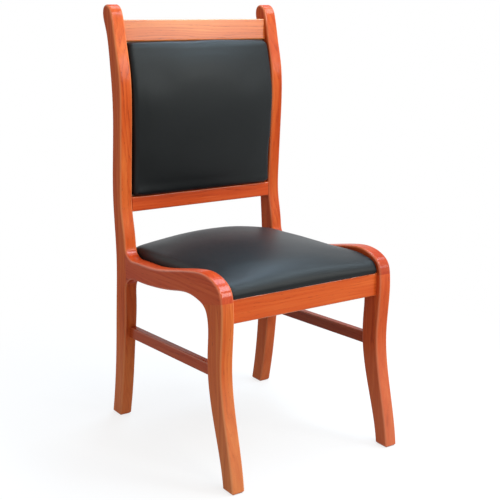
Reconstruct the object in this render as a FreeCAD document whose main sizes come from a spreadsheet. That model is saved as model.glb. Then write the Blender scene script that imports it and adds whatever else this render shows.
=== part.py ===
"""Wooden meeting chair with an upholstered seat and back, built as a glued and screwed assembly.

Millimetres. X runs to the sitter's left, Y to the rear, Z up. The origin is on the floor, midway
between the side frames and midway between the front of the front feet and the rear of the rear feet.
"""
import FreeCAD
import Part
import math
import os
import Sketcher
from FreeCAD import Placement, Rotation, Vector

doc = FreeCAD.newDocument("meeting_chair")

# Driving dimensions: name, value, meaning
DIMENSIONS = [
    ("overall_width", 450, "over the outer faces of the two side frames"),
    ("frame_thickness", 32, "of posts, side rails and front legs"),
    ("frame_round", 5, "rounding along the side frames"),
    ("foot_chamfer", 4, "round the soles of the four feet"),
    ("post_joint_y", 180, "glue line of the side rails on the posts"),
    ("leg_joint_y", -238, "front end of the glue line on the front legs"),
    ("leg_joint_z", 401, "its height at that end"),
    ("leg_joint_fall", 12.5, "its fall towards the rear, degrees"),
    ("rail_round", 3, "rounding along the cross rails and stretchers"),
    ("front_rail_thickness", 22, "front seat rail"),
    ("front_rail_height", 53, "front seat rail"),
    ("front_rail_y", -225, "its front face"),
    ("rear_rail_thickness", 22, "rear seat rail"),
    ("rear_rail_height", 46, "rear seat rail"),
    ("rear_rail_y", 200, "its front face"),
    ("seat_rest_z", 404, "top of the front and rear seat rails"),
    ("crest_thickness", 24, "crest rail"),
    ("crest_height", 49, "crest rail"),
    ("crest_y", 215, "its front face at the lower edge"),
    ("crest_z", 904, "its lower edge"),
    ("crest_lean", 4.7, "lean to the rear, degrees"),
    ("crest_lip", 8, "wood left in front of its rebate"),
    ("lower_rail_thickness", 30, "lower back rail"),
    ("lower_rail_height", 35, "lower back rail"),
    ("lower_rail_y", 198, "its front face"),
    ("lower_rail_z", 515, "its lower edge"),
    ("lower_rail_lip", 15, "wood left in front of its rebate"),
    ("rebate_height", 10, "of the rebates that take the back board"),
    ("stretcher_thickness", 18, "side stretchers"),
    ("stretcher_height", 27, "side stretchers"),
    ("stretcher_x", 203, "middle of a stretcher from the middle of the chair"),
    ("stretcher_rear_y", 196, "where a stretcher meets the rear leg"),
    ("stretcher_rear_z", 224.5, "middle of the stretcher there"),
    ("stretcher_front_y", -180, "where it meets the front leg"),
    ("stretcher_rise", 2.5, "rise towards the front, degrees"),
    ("dowel_diameter", 8, "beech dowels"),
    ("dowel_length", 40, "beech dowels"),
    ("thin_dowel_diameter", 6, "dowels of the lower back rail"),
    ("block_reach", 62, "corner block along each rail"),
    ("block_end", 10, "corner block, thickness of its ends"),
    ("block_height", 36, "corner block"),
    ("block_screw_reach", 40, "corner block screw from the corner"),
    ("block_screw_rise", 26, "corner block screw above the lower face"),
    ("block_screw_set", 14, "wood under a corner block screw's head"),
    ("block_screw_length", 32, "corner block screws"),
    ("seat_screw_reach", 22, "seat screw from both rails"),
    ("seat_screw_length", 45, "seat screws under the head"),
    ("screw_diameter", 4, "corner block and seat screws"),
    ("screw_head_diameter", 8, "corner block and seat screws"),
    ("screw_head_height", 3, "corner block and seat screws"),
    ("screw_head_gap", 1, "round the heads of the corner block screws"),
    ("back_screw_diameter", 3.5, "back board screws"),
    ("back_screw_head_diameter", 7, "back board screws"),
    ("back_screw_head_height", 2.5, "back board screws"),
    ("back_screw_length", 13, "back board screws with the head"),
    ("back_screw_spacing", 130, "between neighbouring back board screws"),
    ("leather_thickness", 1.2, "both covers"),
    ("pad_shoulder", 8, "rounding of both pads between side and crown"),
    ("seat_half_width", 191.5, "seat pad between the side frames"),
    ("seat_board_thickness", 12, "plywood"),
    ("seat_board_half_width", 189.5, "plywood"),
    ("seat_board_front_y", -212, "plywood"),
    ("seat_board_rear_y", 207, "plywood"),
    ("seat_hem", 14, "leather turned under the board"),
    ("dust_cover_thickness", 0.8, "cloth under the seat"),
    ("dust_cover_half_width", 188, "cloth under the seat"),
    ("dust_cover_front_y", -199, "cloth under the seat"),
    ("dust_cover_rear_y", 196, "cloth under the seat"),
    ("dust_cover_corner", 68, "its corners cut off beside the corner blocks"),
    ("back_half_width", 191.5, "back pad between the posts"),
    ("back_board_thickness", 9, "bent plywood"),
    ("back_board_low_z", 541, "bent plywood"),
    ("back_board_high_z", 912, "bent plywood"),
    ("back_bend_radius", 1638, "front face of the bent plywood"),
    ("back_bend_y", 1846, "middle of that bend"),
    ("back_bend_z", 681, "middle of that bend"),
    ("rear_panel_thickness", 4, "leather-covered panel behind the back board"),
    ("rear_panel_margin", 3, "its gap to the ends of the back board"),
]

# Outline of a side frame from behind the rear foot, over the post's nose, down its front, along the
# seat rail and over the knee to the front of the front foot, as (Y, Z)
OUTER_OUTLINE = [
    (275, 0), (262, 62), (247.5, 167), (237, 296), (230, 410), (237.7, 545), (225, 768), (234, 868),
    (248.5, 934), (258.5, 970), (253, 982), (240, 986), (225, 979), (214, 957),
    (200.5, 900), (187, 842), (183, 788), (188, 690), (195, 590), (195, 515), (186.5, 472),
    (183, 446), (178, 425), (165, 415), (131, 412.5), (60, 415), (-31, 429), (-116, 446), (-157, 450.5),
    (-203, 443), (-229, 425), (-237.5, 393), (-237, 340), (-231.3, 253), (-243.5, 159), (-262, 79), (-275, 0),
]
# Its inner outline from the rear of the front foot, round the arch and under the seat rail to the
# front of the rear foot
INNER_OUTLINE = [
    (-237, 0), (-221, 73), (-194.6, 159), (-180, 236), (-180.5, 300), (-181, 352), (-171, 376),
    (-145, 388), (-103, 393), (-30, 382.5), (52, 371.5), (119, 367.5), (160, 363), (180, 349),
    (186.5, 309), (197.6, 206), (213, 100), (234, 0),
]
# Seat pad across the chair at each depth: Y, height of its shoulders, height of its crown
SEAT_SECTIONS = [
    (-226, 412, 417), (-223, 420, 427), (-214, 428, 437), (-196, 434, 446), (-160, 439, 455), (-90, 441, 463),
    (0, 440, 467), (90, 439, 466), (160, 438, 460), (194, 435, 451), (207, 428, 440), (213, 418, 424),
]
# At the seat pad's thin ends its round shoulders take this share of its height
SHOULDER_SHARE = 0.6
# Back pad across the chair at each height: Z, Y of its shoulders, Y of its crown
BACK_SECTIONS = [
    (551, 204, 200), (555, 200, 193), (566, 198, 187), (600, 197, 181), (660, 194, 176), (730, 189, 171),
    (800, 188, 171), (850, 193, 177), (886, 200, 187), (898, 205, 195), (903, 210, 204),
]
# The side frames: name, side of the middle plane
SIDES = (("right", -1), ("left", 1))

sheet = doc.addObject("Spreadsheet::Sheet", "dims")
for row, (name, size, meaning) in enumerate(DIMENSIONS, start=1):
    sheet.set(f"A{row}", name)
    sheet.set(f"B{row}", str(size))
    sheet.setAlias(f"B{row}", name)
    sheet.set(f"C{row}", meaning)
doc.recompute()

nodes = []


def dim(name):
    """A driving dimension as a number."""
    return float(sheet.get(name))


INNER_X = dim("overall_width") / 2 - dim("frame_thickness")
FRAME_X = dim("overall_width") / 2 - dim("frame_thickness") / 2
# How far cutting boxes reach beyond the chair, and past a face that they open
ROOM = 600
PAST = 1
# Edges longer than this run along a piece, and points this close lie on one face
LONG_EDGE = 300
NEAR = 0.01


def keep(piece, label):
    """Names a finished sub-part and puts it on the list of those that are written."""
    piece.Label = label
    nodes.append(piece)
    return piece


def new_sketch(body, role):
    """An empty sketch on one of the body's own origin planes."""
    sketch = body.newObject("Sketcher::SketchObject", f"{body.Name}_sketch")
    plane = next(feature for feature in body.Origin.OriginFeatures if feature.Role == role)
    sketch.AttachmentSupport = [(plane, "")]
    sketch.MapMode = "FlatFace"
    return sketch


def join_ends(sketch, count):
    """Closes a run of curves by joining each one's end to the next one's start."""
    for index in range(count):
        sketch.addConstraint(Sketcher.Constraint("Coincident", index, 2, (index + 1) % count, 1))


def bound_polygon(sketch, corners):
    """A closed polygon whose corners are pairs of expressions on the driving dimensions."""
    points = [Vector(*(float(sheet.evalExpression(part)) for part in corner), 0) for corner in corners]
    for index, point in enumerate(points):
        sketch.addGeometry(Part.LineSegment(point, points[(index + 1) % len(points)]))
    join_ends(sketch, len(points))
    for index, corner in enumerate(corners):
        for kind, expression, size in zip(("DistanceX", "DistanceY"), corner, points[index]):
            number = sketch.addConstraint(Sketcher.Constraint(kind, index, 1, size))
            sketch.setExpression(f"Constraints[{number}]", expression)


def new_pad(body, sketch, length, midplane=False):
    """Pads a sketch by an expression, to one side or to both sides alike."""
    pad = body.newObject("PartDesign::Pad", f"{body.Name}_pad")
    pad.Profile = sketch
    pad.Midplane = midplane
    pad.setExpression("Length", length)
    doc.recompute()
    return pad


def prism(name, role, corners, length, midplane=False):
    """A straight piece of polygonal section."""
    body = doc.addObject("PartDesign::Body", name)
    sketch = new_sketch(body, role)
    bound_polygon(sketch, corners)
    new_pad(body, sketch, length, midplane)
    return body


def picked_edges(feature, wanted):
    """A feature and the names of those of its edges that the test picks."""
    names = []
    for number, edge in enumerate(feature.Shape.Edges, start=1):
        if wanted(edge):
            names.append(f"Edge{number}")
    return feature, names


def round_edges(body, radius, wanted):
    """Rounds the edges of a body's last feature that the test picks."""
    edges = picked_edges(body.Tip, wanted)
    fillet = body.newObject("PartDesign::Fillet", f"{body.Name}_round")
    fillet.Base = edges
    fillet.setExpression("Radius", radius)
    doc.recompute()


def chamfer_edges(body, size, wanted):
    """Chamfers the edges of a body's last feature that the test picks."""
    edges = picked_edges(body.Tip, wanted)
    chamfer = body.newObject("PartDesign::Chamfer", f"{body.Name}_chamfer")
    chamfer.Base = edges
    chamfer.setExpression("Size", size)
    doc.recompute()


def middle(edge):
    """The point halfway along an edge."""
    return edge.valueAt((edge.FirstParameter + edge.LastParameter) / 2)


def cut(label, piece, tools):
    """Cuts the tools out of a piece one after another and keeps the result."""
    for number, tool in enumerate(tools):
        step = doc.addObject("Part::Cut", f"{label}_cut_{number}")
        step.Base = piece
        step.Tool = tool
        piece = step
    return keep(piece, label)


def split(name, piece, tool):
    """The parts of a piece inside and outside a tool."""
    inside = doc.addObject("Part::Common", f"{name}_inside")
    outside = doc.addObject("Part::Cut", f"{name}_outside")
    for part in (inside, outside):
        part.Base = piece
        part.Tool = tool
    return inside, outside


def solid_feature(name, shape):
    """A shape worked out from the driving dimensions, as an object of the document."""
    feature = doc.addObject("Part::Feature", name)
    feature.Shape = shape
    return feature


def along(start, direction):
    """The place of a piece drawn from the origin up Z, when it starts here and points this way."""
    return Placement(start, Rotation(Vector(0, 0, 1), direction))


def fastener_group(label, shape, places):
    """Copies of one fastener, a separate solid at each place."""
    copies = []
    for place in places:
        copy = shape.copy()
        copy.Placement = place
        copies.append(copy)
    return keep(solid_feature(label, Part.makeCompound(copies)), label)


def dowel(diameter_name):
    """A dowel with its middle at the origin, and chamfered ends."""
    radius = dim(diameter_name) / 2
    half = dim("dowel_length") / 2
    chamfer = radius / 4
    profile = [
        (0, -half), (radius - chamfer, -half), (radius, chamfer - half),
        (radius, half - chamfer), (radius - chamfer, half), (0, half),
    ]
    return turned(profile)


def screw(diameter, head_diameter, head_height, length, countersunk):
    """A wood screw that points up Z from under its head, or from the top of a countersunk head."""
    radius = diameter / 2
    head = head_diameter / 2
    point = length - diameter
    ease = head_height / 3
    if countersunk:
        start = [(0, 0), (head, 0), (radius, head_height)]
    else:
        start = [
            (0, -head_height), (head - ease, -head_height), (head, ease - head_height),
            (head, 0), (radius, 0),
        ]
    return turned(start + [(radius, point), (0, length)])


def turned(profile):
    """A solid of revolution about Z from points (radius, Z)."""
    points = [Vector(radius, 0, height) for radius, height in profile]
    face = Part.Face(Part.makePolygon(points + points[:1]))
    return face.revolve(Vector(0, 0, 0), Vector(0, 0, 1), 360)


# Side frames: one rounded outline each, parted along its glue lines into post, rail and leg
def side_frame(side, sign):
    """A whole side frame with its rounding and the chamfers of its feet."""
    body = doc.addObject("PartDesign::Body", f"{side}_side_frame")
    sketch = new_sketch(body, "YZ_Plane")
    outer, inner = (
        [Vector(y, z, 0) for y, z in outline] for outline in (OUTER_OUTLINE, INNER_OUTLINE)
    )
    for points, following in ((outer, inner), (inner, outer)):
        curve = Part.BSplineCurve()
        curve.interpolate(points)
        sketch.addGeometry(curve)
        sketch.addGeometry(Part.LineSegment(points[-1], following[0]))
    join_ends(sketch, 4)
    new_pad(body, sketch, "dims.frame_thickness")
    round_edges(body, "dims.frame_round", lambda edge: edge.Length > LONG_EDGE)
    chamfer_edges(body, "dims.foot_chamfer", lambda edge: edge.BoundBox.ZMax < NEAR)
    if sign < 0:
        body.setExpression("Placement.Base.x", "-dims.overall_width / 2")
    else:
        body.setExpression("Placement.Base.x", "dims.overall_width / 2 - dims.frame_thickness")
    return body


def clearing_box(name, place, low, high):
    """A box between two corners in a turned frame, to part a side frame with."""
    box = doc.addObject("Part::Box", name)
    box.Length, box.Width, box.Height = (high - low)
    box.Placement = place.multiply(Placement(low, Rotation()))
    return box


def frame_blanks(side, frame):
    """The post, side rail and front leg of a side frame, before their dowel holes."""
    behind = clearing_box(
        f"{side}_behind_post_joint", Placement(Vector(0, dim("post_joint_y"), 0), Rotation()),
        Vector(-ROOM, 0, -ROOM), Vector(ROOM, ROOM, 2 * ROOM),
    )
    post, front = split(f"{side}_post", frame, behind)
    fall = Rotation(Vector(1, 0, 0), -dim("leg_joint_fall"))
    below = clearing_box(
        f"{side}_below_leg_joint", Placement(Vector(0, dim("leg_joint_y"), dim("leg_joint_z")), fall),
        Vector(-ROOM, -ROOM / 2, -ROOM), Vector(ROOM, ROOM / 4, 0),
    )
    leg, rail = split(f"{side}_leg", front, below)
    return {"post": post, "rail": rail, "leg": leg}


# Cross rails and stretchers
def cross_rail(name, thickness, height, lip=None, rebate_at_top=False):
    """A rail between the side frames, drawn from the lower edge of its front face."""
    if lip is None:
        corners = [("0", "0"), (thickness, "0"), (thickness, height), ("0", height)]
    elif rebate_at_top:
        shelf = f"{height} - dims.rebate_height"
        corners = [
            ("0", "0"), (thickness, "0"), (thickness, shelf), (lip, shelf), (lip, height), ("0", height),
        ]
    else:
        shelf = "dims.rebate_height"
        corners = [
            ("0", "0"), (lip, "0"), (lip, shelf), (thickness, shelf), (thickness, height), ("0", height),
        ]
    body = prism(name, "YZ_Plane", corners, "dims.overall_width - 2 * dims.frame_thickness", midplane=True)
    depth, top = (float(sheet.evalExpression(size)) for size in (thickness, height))

    def outer_corner(edge):
        point = middle(edge)
        on_corner = min(point.y, depth - point.y) < NEAR and min(point.z, top - point.z) < NEAR
        return on_corner and edge.Length > LONG_EDGE

    round_edges(body, "dims.rail_round", outer_corner)
    return body


def place_rail(body, front, low, lean=None):
    """Puts a cross rail at its front face and lower edge, given as expressions."""
    body.setExpression("Placement.Base.y", front)
    body.setExpression("Placement.Base.z", low)
    if lean is not None:
        body.Placement.Rotation = Rotation(Vector(1, 0, 0), -dim(lean))
    return body


def stretcher_bar(side, sign):
    """A stretcher that runs a little way into both legs, rising towards the front."""
    half_x, half_z = "dims.stretcher_thickness / 2", "dims.stretcher_height / 2"
    corners = [(f"-{half_x}", f"-{half_z}"), (half_x, f"-{half_z}"), (half_x, half_z), (f"-{half_x}", half_z)]
    overlap = 10
    length = f"dims.stretcher_rear_y - dims.stretcher_front_y + {2 * overlap}"
    body = prism(f"{side}_stretcher_bar", "XZ_Plane", corners, length)
    round_edges(body, "dims.rail_round", lambda edge: edge.Length > LONG_EDGE)
    body.Placement = stretcher_place(sign).multiply(Placement(Vector(0, overlap, 0), Rotation()))
    return body


def stretcher_place(sign):
    """The rear end of a stretcher's middle line, with Y along it to the rear."""
    end = Vector(sign * dim("stretcher_x"), dim("stretcher_rear_y"), dim("stretcher_rear_z"))
    return Placement(end, Rotation(Vector(1, 0, 0), -dim("stretcher_rise")))


def stretcher_ends(sign):
    """Where a stretcher's dowels cross the two legs, with Z along the stretcher."""
    run = (dim("stretcher_rear_y") - dim("stretcher_front_y")) / math.cos(math.radians(dim("stretcher_rise")))
    turn = Rotation(Vector(1, 0, 0), 90)
    return [stretcher_place(sign).multiply(Placement(Vector(0, -step, 0), turn)) for step in (0, run)]


# Dowels: the places are where each one crosses its glue line
def both_sides(x, spots, direction):
    """The same places on both side frames."""
    return [along(Vector(sign * x, y, z), direction) for _, sign in SIDES for y, z in spots]


def all_dowels():
    """Every group of dowels by the joint that it holds."""
    thick, thin = dowel("dowel_diameter"), dowel("thin_dowel_diameter")
    across, back, up = Vector(1, 0, 0), Vector(0, 1, 0), Vector(0, 0, 1)
    spots = {
        "crest_rail_dowels": (thick, INNER_X, [(228, 922), (231, 942)], across),
        "lower_back_rail_dowels": (thin, INNER_X, [(213, 521.5), (213, 533)], across),
        "front_rail_dowels": (thick, INNER_X, [(-214, 362), (-214, 378)], across),
        "rear_rail_dowels": (thick, INNER_X, [(211, 372), (211, 394)], across),
        "side_rail_post_dowels": (thick, FRAME_X, [(180, 376), (180, 403)], back),
        "side_rail_leg_dowels": (thick, FRAME_X, [(-225.5, 398.2), (-197, 392)], up),
    }
    groups = {}
    for label, (shape, x, places, direction) in spots.items():
        groups[label] = fastener_group(label, shape, both_sides(x, places, direction))
    ends = [place for _, sign in SIDES for place in stretcher_ends(sign)]
    groups["stretcher_dowels"] = fastener_group("stretcher_dowels", thick, ends)
    return groups


# Corner blocks and their screws, in the corners of the seat frame
def block_corners():
    """Each block's name and place: its right angle in a corner, X and Y along the two rails."""
    front = dim("front_rail_y") + dim("front_rail_thickness")
    rear = dim("rear_rail_y")
    low = dim("seat_rest_z") - dim("block_height")
    corners = (
        ("front_right", -INNER_X, front, 0), ("front_left", INNER_X, front, 90),
        ("rear_left", INNER_X, rear, 180), ("rear_right", -INNER_X, rear, 270),
    )
    up = Vector(0, 0, 1)
    return [(name, Placement(Vector(x, y, low), Rotation(up, turn))) for name, x, y, turn in corners]


def screw_shapes():
    """The corner block and seat screw, and the countersunk back board screw."""
    sizes = [dim(name) for name in ("screw_diameter", "screw_head_diameter", "screw_head_height")]
    small = [dim(f"back_{name}") for name in ("screw_diameter", "screw_head_diameter", "screw_head_height")]
    return {
        "block": screw(*sizes, dim("block_screw_length"), False),
        "seat": screw(*sizes, dim("seat_screw_length"), False),
        "back": screw(*small, dim("back_screw_length"), True),
    }


def block_screw_places():
    """Two screws in each block, one square to each rail."""
    reach, rise, under_head = (dim(f"block_screw_{name}") for name in ("reach", "rise", "set"))
    local = [
        along(Vector(reach, under_head, rise), Vector(0, -1, 0)),
        along(Vector(under_head, reach, rise), Vector(-1, 0, 0)),
    ]
    return [corner.multiply(place) for _, corner in block_corners() for place in local]


def seat_screw_places():
    """One screw up through each block into the seat board."""
    reach = dim("seat_screw_reach")
    local = along(Vector(reach, reach, 0), Vector(0, 0, 1))
    return [corner.multiply(local) for _, corner in block_corners()]


def corner_blocks(screws):
    """The four blocks, with their screw holes and the counterbores for the screw heads."""
    reach, end = "dims.block_reach", "dims.block_end"
    corners = [("0", "0"), (reach, "0"), (reach, end), (end, reach), ("0", reach)]
    head_room = dim("screw_head_diameter") / 2 + dim("screw_head_gap")
    bores = []
    for place in block_screw_places():
        bore = Part.makeCylinder(head_room, dim("block_reach"))
        bore.Placement = place.multiply(Placement(Vector(0, 0, 0), Rotation(Vector(1, 0, 0), 180)))
        bores.append(bore)
    counterbores = solid_feature("block_counterbores", Part.makeCompound(bores))
    for name, place in block_corners():
        block = prism(f"{name}_block_blank", "XY_Plane", corners, "dims.block_height")
        block.Placement = place
        cut(f"{name}_corner_block", block, [counterbores, *screws])


# Pads: crowned forms lofted through lines and arcs
def pad_section(half_width, base, shoulder, crown, radius, point):
    """A section from a straight base, up drawn-in sides, over round shoulders and a crowned top."""
    corner = half_width - radius
    dip = radius * (1 - math.sqrt(0.5))
    rise = math.copysign(1, shoulder - base)
    low = shoulder - rise * radius
    turn = shoulder - rise * dip
    edges = [
        Part.LineSegment(point(-half_width, base), point(half_width, base)),
        Part.LineSegment(point(half_width, base), point(half_width, low)),
        Part.Arc(point(half_width, low), point(half_width - dip, turn), point(corner, shoulder)),
        Part.Arc(point(corner, shoulder), point(0, crown), point(-corner, shoulder)),
        Part.Arc(point(-corner, shoulder), point(dip - half_width, turn), point(-half_width, low)),
        Part.LineSegment(point(-half_width, low), point(-half_width, base)),
    ]
    return Part.Wire([edge.toShape() for edge in edges])


def seat_form(inset):
    """The seat pad, or what lies inside its leather."""
    base = dim("seat_rest_z") + inset
    front, rear = SEAT_SECTIONS[0][0], SEAT_SECTIONS[-1][0]
    centre = (front + rear) / 2
    shrink = 1 - inset / (rear - centre)
    wires = []
    for y, shoulder, crown in SEAT_SECTIONS:
        here = centre + (y - centre) * shrink
        radius = min(dim("pad_shoulder"), SHOULDER_SHARE * (shoulder - dim("seat_rest_z")))
        wires.append(pad_section(
            dim("seat_half_width") - inset, base, shoulder - inset, crown - inset, radius,
            lambda across, height, depth=here: Vector(across, depth, height),
        ))
    return Part.makeLoft(wires, True, False)


def back_form(inset):
    """The back pad on to the crest rail's rear face, or what lies inside its leather."""
    behind = dim("crest_y") + dim("crest_thickness")
    low, high = BACK_SECTIONS[0][0], BACK_SECTIONS[-1][0]
    centre = (low + high) / 2
    shrink = 1 - inset / (high - centre)
    wires = []
    for z, shoulder, crown in BACK_SECTIONS:
        here = centre + (z - centre) * shrink
        wires.append(pad_section(
            dim("back_half_width") - inset, behind, shoulder + inset, crown + inset, dim("pad_shoulder"),
            lambda across, depth, height=here: Vector(across, depth, height),
        ))
    return Part.makeLoft(wires, True, False)


def bent_board(name, start, thickness, low, high, half_width):
    """A bent board that starts some way behind the pad's back, between two heights."""
    middle_y, middle_z = dim("back_bend_y"), dim("back_bend_z")
    front = dim("back_bend_radius") - start
    rear = front - thickness
    ends = {}
    for radius in (front, rear):
        for height in (low, high):
            reach = math.sqrt(radius ** 2 - (height - middle_z) ** 2)
            ends[radius, height] = Vector(middle_y - reach, height, 0)
    body = doc.addObject("PartDesign::Body", name)
    sketch = new_sketch(body, "YZ_Plane")
    bulge = {radius: Vector(middle_y - radius, middle_z, 0) for radius in (front, rear)}
    sketch.addGeometry(Part.Arc(ends[front, low], bulge[front], ends[front, high]))
    sketch.addGeometry(Part.LineSegment(ends[front, high], ends[rear, high]))
    sketch.addGeometry(Part.Arc(ends[rear, low], bulge[rear], ends[rear, high]))
    sketch.addGeometry(Part.LineSegment(ends[rear, low], ends[front, low]))
    new_pad(body, sketch, f"2 * {half_width}", midplane=True)
    return body


def flat_board(name, corners, thickness, low):
    """A flat sheet or board with its lower face at a height."""
    body = prism(name, "XY_Plane", corners, thickness)
    body.setExpression("Placement.Base.z", low)
    return body


def seat_board(screws):
    """The plywood under the seat's foam."""
    wide, front, rear = "dims.seat_board_half_width", "dims.seat_board_front_y", "dims.seat_board_rear_y"
    corners = [(f"-{wide}", front), (wide, front), (wide, rear), (f"-{wide}", rear)]
    blank = flat_board(
        "seat_board_blank", corners, "dims.seat_board_thickness", "dims.seat_rest_z + dims.leather_thickness",
    )
    return cut("seat_board", blank, screws)


def seat_soft_parts():
    """The leather with its turned-under hem, and the foam that fills it above and before the board."""
    base = dim("seat_rest_z")
    top = base + dim("leather_thickness") + dim("seat_board_thickness")
    front, rear = dim("seat_board_front_y"), dim("seat_board_rear_y")
    outside = solid_feature("seat_form", seat_form(0))
    inside = solid_feature("seat_filling", seat_form(dim("leather_thickness")))
    hem = dim("seat_hem")
    wide = dim("seat_half_width") - hem
    upright = Placement()
    window = clearing_box(
        "seat_hem_window", upright, Vector(-wide, front + hem, base - PAST), Vector(wide, rear - hem, top),
    )
    board_space = clearing_box(
        "seat_board_space", upright, Vector(-ROOM, front, base - PAST), Vector(ROOM, rear, top),
    )
    cut("seat_cover", outside, [inside, window])
    cut("seat_foam", inside, [board_space])


def dust_cover():
    """The cloth under the seat, with its corners cut off beside the corner blocks."""
    wide, front, rear = "dims.dust_cover_half_width", "dims.dust_cover_front_y", "dims.dust_cover_rear_y"
    corner = "dims.dust_cover_corner"
    corners = [
        (f"{corner} - {wide}", front), (f"{wide} - {corner}", front),
        (wide, f"{front} + {corner}"), (wide, f"{rear} - {corner}"),
        (f"{wide} - {corner}", rear), (f"{corner} - {wide}", rear),
        (f"-{wide}", f"{rear} - {corner}"), (f"-{wide}", f"{front} + {corner}"),
    ]
    thickness = "dims.dust_cover_thickness"
    sheet_of_cloth = flat_board("seat_dust_cover", corners, thickness, f"dims.seat_rest_z - {thickness}")
    keep(sheet_of_cloth, "seat_dust_cover")


def back_screw_places():
    """Three screws along each rebate, square through the back board from behind."""
    rear = dim("back_bend_radius") - dim("back_board_thickness")
    inset = dim("rebate_height") / 2
    places = []
    for height in (dim("back_board_low_z") + inset, dim("back_board_high_z") - inset):
        up = (height - dim("back_bend_z")) / rear
        back = math.sqrt(1 - up ** 2)
        for step in (-1, 0, 1):
            start = Vector(step * dim("back_screw_spacing"), dim("back_bend_y") - rear * back, height)
            places.append(along(start, Vector(0, -back, up)))
    return places


def back_parts(screws):
    """The bent board, its leather-covered rear panel, and the leather and foam before it."""
    thickness = dim("back_board_thickness")
    low, high = dim("back_board_low_z"), dim("back_board_high_z")
    margin = dim("rear_panel_margin")
    blank = bent_board("back_board_blank", 0, thickness, low, high, "dims.back_half_width")
    cut("back_board", blank, [screws])
    panel = bent_board(
        "back_rear_panel", thickness, dim("rear_panel_thickness"), low + margin, high - margin,
        "dims.back_half_width",
    )
    keep(panel, "back_rear_panel")
    board_space = bent_board("back_board_space", 0, ROOM / 4, low, high, "dims.overall_width")
    outside = solid_feature("back_form", back_form(0))
    inside = solid_feature("back_filling", back_form(dim("leather_thickness")))
    cut("back_cover", outside, [inside, board_space])
    cut("back_foam", inside, [board_space])


def build():
    """Every sub-part, each cut by the fasteners that pass through it."""
    dowels = all_dowels()
    shapes = screw_shapes()
    block_screws = fastener_group("corner_block_screws", shapes["block"], block_screw_places())
    seat_screws = fastener_group("seat_screws", shapes["seat"], seat_screw_places())
    back_screws = fastener_group("back_screws", shapes["back"], back_screw_places())

    for side, sign in SIDES:
        frame = side_frame(side, sign)
        blanks = frame_blanks(side, frame)
        cut(f"{side}_rear_post", blanks["post"], [
            dowels["crest_rail_dowels"], dowels["lower_back_rail_dowels"], dowels["rear_rail_dowels"],
            dowels["side_rail_post_dowels"], dowels["stretcher_dowels"],
        ])
        cut(f"{side}_side_rail", blanks["rail"], [
            dowels["side_rail_post_dowels"], dowels["side_rail_leg_dowels"], block_screws,
        ])
        cut(f"{side}_front_leg", blanks["leg"], [
            dowels["front_rail_dowels"], dowels["side_rail_leg_dowels"], dowels["stretcher_dowels"],
        ])
        cut(f"{side}_stretcher", stretcher_bar(side, sign), [frame, dowels["stretcher_dowels"]])

    front_rail = cross_rail("front_rail_blank", "dims.front_rail_thickness", "dims.front_rail_height")
    place_rail(front_rail, "dims.front_rail_y", "dims.seat_rest_z - dims.front_rail_height")
    cut("front_seat_rail", front_rail, [dowels["front_rail_dowels"], block_screws])
    rear_rail = cross_rail("rear_rail_blank", "dims.rear_rail_thickness", "dims.rear_rail_height")
    place_rail(rear_rail, "dims.rear_rail_y", "dims.seat_rest_z - dims.rear_rail_height")
    cut("rear_seat_rail", rear_rail, [dowels["rear_rail_dowels"], block_screws])
    crest = cross_rail("crest_rail_blank", "dims.crest_thickness", "dims.crest_height", "dims.crest_lip")
    place_rail(crest, "dims.crest_y", "dims.crest_z", "crest_lean")
    cut("crest_rail", crest, [dowels["crest_rail_dowels"], back_screws])
    lower = cross_rail(
        "lower_rail_blank", "dims.lower_rail_thickness", "dims.lower_rail_height", "dims.lower_rail_lip",
        rebate_at_top=True,
    )
    place_rail(lower, "dims.lower_rail_y", "dims.lower_rail_z")
    cut("lower_back_rail", lower, [dowels["lower_back_rail_dowels"], back_screws])

    corner_blocks([block_screws, seat_screws])
    seat_board([seat_screws])
    seat_soft_parts()
    dust_cover()
    back_parts(back_screws)


def check_and_write():
    """Stops on anything that failed, then writes one file for each sub-part."""
    doc.recompute()
    for item in doc.Objects:
        if "Invalid" in item.State or "Error" in item.State:
            raise RuntimeError(f"{item.Label} failed: {item.State}")
    for node in nodes:
        if node.Shape.isNull() or not node.Shape.isValid() or not node.Shape.Solids:
            raise RuntimeError(f"{node.Label} has no valid solid")
    os.makedirs("parts", exist_ok=True)
    for node in nodes:
        solids = node.Shape.Solids
        shape = solids[0] if len(solids) == 1 else Part.makeCompound(solids)
        shape.exportStep(f"parts/{node.Label}.step")
        print(f"{node.Label}: {len(solids)} solid(s), {node.Shape.Volume / 1000:.1f} cm3")


build()
check_and_write()
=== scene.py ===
"""Looks of a wooden meeting chair: a stained and lacquered frame with a black leather seat and back.

Metres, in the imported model's own frame: X to the sitter's left, Y to the rear, Z up.
"""
import math
import random

import bmesh
import bpy
import numpy as np
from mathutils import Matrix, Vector, noise
from mathutils.bvhtree import BVHTree


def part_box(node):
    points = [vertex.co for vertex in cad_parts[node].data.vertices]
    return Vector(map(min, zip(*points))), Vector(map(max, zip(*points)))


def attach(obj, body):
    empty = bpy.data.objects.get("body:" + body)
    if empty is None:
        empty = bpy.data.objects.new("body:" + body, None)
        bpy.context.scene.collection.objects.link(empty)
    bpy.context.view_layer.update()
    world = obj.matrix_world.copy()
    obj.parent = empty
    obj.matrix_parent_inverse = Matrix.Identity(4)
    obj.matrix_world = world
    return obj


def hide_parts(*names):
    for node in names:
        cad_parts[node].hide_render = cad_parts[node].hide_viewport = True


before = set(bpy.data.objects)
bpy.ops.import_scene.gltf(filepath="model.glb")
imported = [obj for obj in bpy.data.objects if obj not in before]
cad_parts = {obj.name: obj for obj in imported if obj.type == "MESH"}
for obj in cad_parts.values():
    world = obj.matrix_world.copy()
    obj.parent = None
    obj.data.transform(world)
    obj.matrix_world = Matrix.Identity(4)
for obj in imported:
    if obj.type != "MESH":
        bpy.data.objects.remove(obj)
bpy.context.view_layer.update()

MM = 0.001
scene = bpy.context.scene

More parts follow.
